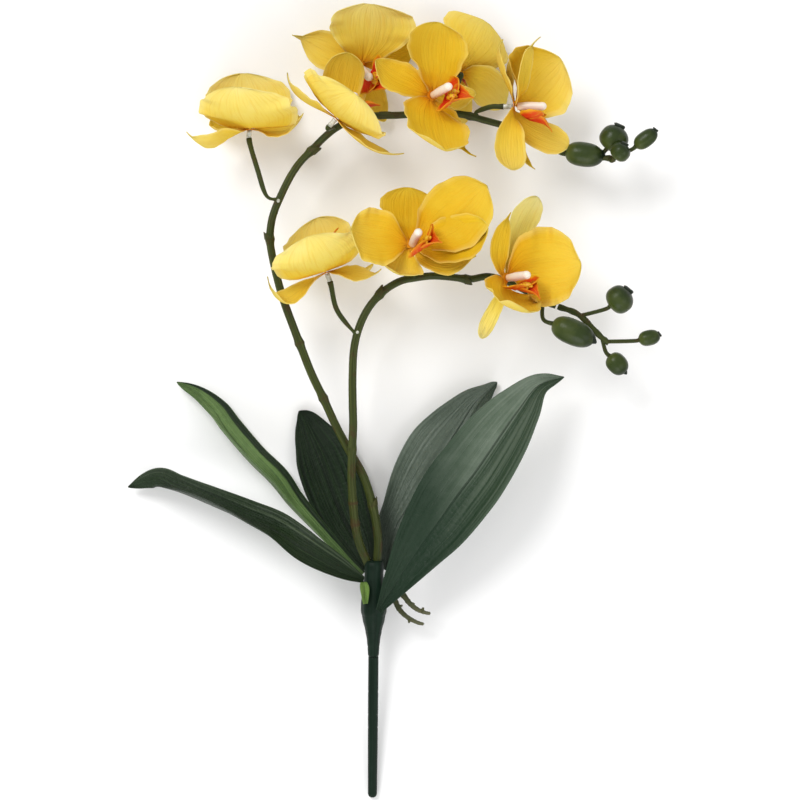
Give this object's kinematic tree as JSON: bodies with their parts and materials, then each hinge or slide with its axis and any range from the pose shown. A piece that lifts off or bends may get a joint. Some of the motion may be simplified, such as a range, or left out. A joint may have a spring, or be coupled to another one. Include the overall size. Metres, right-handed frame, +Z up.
{
  "type": "artificial orchid spray",
  "caption": "Artificial yellow moth orchid spray with arching flower spikes, bud tips, strap leaves and aerial roots on a ground stake, laid on its back.",
  "frame": {"origin": "middle of the laid-down spray's bounding box, on the surface it lies on", "axes": "+Y runs from the stake towards the flowers, +Z points up from the surface, +X runs towards the bud tips"},
  "size_m": [0.333, 0.4972, 0.0926],
  "materials": {
    "petal_cloth": "matt printed cloth with deeper yellow towards the centre",
    "lip_cloth": "matt printed cloth with yellow streaks",
    "column_plastic": "satin off-white plastic",
    "stem_plastic": "matt olive plastic with brown nodes",
    "bud_plastic": "satin green plastic",
    "leaf_cloth": "coated cloth with a low sheen",
    "sheath_plastic": "matt light green plastic",
    "stake_plastic": "satin dark green plastic",
    "root_plastic": "matt grey-green plastic"
  },
  "bodies": {
    "root": {"buds_a": "bud_plastic", "buds_b": "bud_plastic", "collar": "stake_plastic", "f1_column": "column_plastic", "f1_lip": "lip_cloth", "f1_pedicel": "stem_plastic", "f1_petals": "petal_cloth", "f1_sepals": "petal_cloth", "f2_column": "column_plastic", "f2_lip": "lip_cloth", "f2_pedicel": "stem_plastic", "f2_petals": "petal_cloth", "f2_sepals": "petal_cloth", "f3_column": "column_plastic", "f3_lip": "lip_cloth", "f3_pedicel": "stem_plastic", "f3_petals": "petal_cloth", "f3_sepals": "petal_cloth", "f4_column": "column_plastic", "f4_lip": "lip_cloth", "f4_pedicel": "stem_plastic", "f4_petals": "petal_cloth", "f4_sepals": "petal_cloth", "f5_column": "column_plastic", "f5_lip": "lip_cloth", "f5_pedicel": "stem_plastic", "f5_petals": "petal_cloth", "f5_sepals": "petal_cloth", "f6_column": "column_plastic", "f6_lip": "lip_cloth", "f6_pedicel": "stem_plastic", "f6_petals": "petal_cloth", "f6_sepals": "petal_cloth", "f7_column": "column_plastic", "f7_lip": "lip_cloth", "f7_pedicel": "stem_plastic", "f7_petals": "petal_cloth", "f7_sepals": "petal_cloth", "f8_column": "column_plastic", "f8_lip": "lip_cloth", "f8_pedicel": "stem_plastic", "f8_petals": "petal_cloth", "f8_sepals": "petal_cloth", "f9_column": "column_plastic", "f9_lip": "lip_cloth", "f9_pedicel": "stem_plastic", "f9_petals": "petal_cloth", "f9_sepals": "petal_cloth", "leaf_1": "leaf_cloth", "leaf_2": "leaf_cloth", "leaf_3": "leaf_cloth", "leaf_4": "leaf_cloth", "leaf_5": "leaf_cloth", "root_1": "root_plastic", "root_2": "root_plastic", "sheath": "sheath_plastic", "spike_a": "stem_plastic", "spike_b": "stem_plastic", "stake": "stake_plastic"}
  },
  "joints": []
}
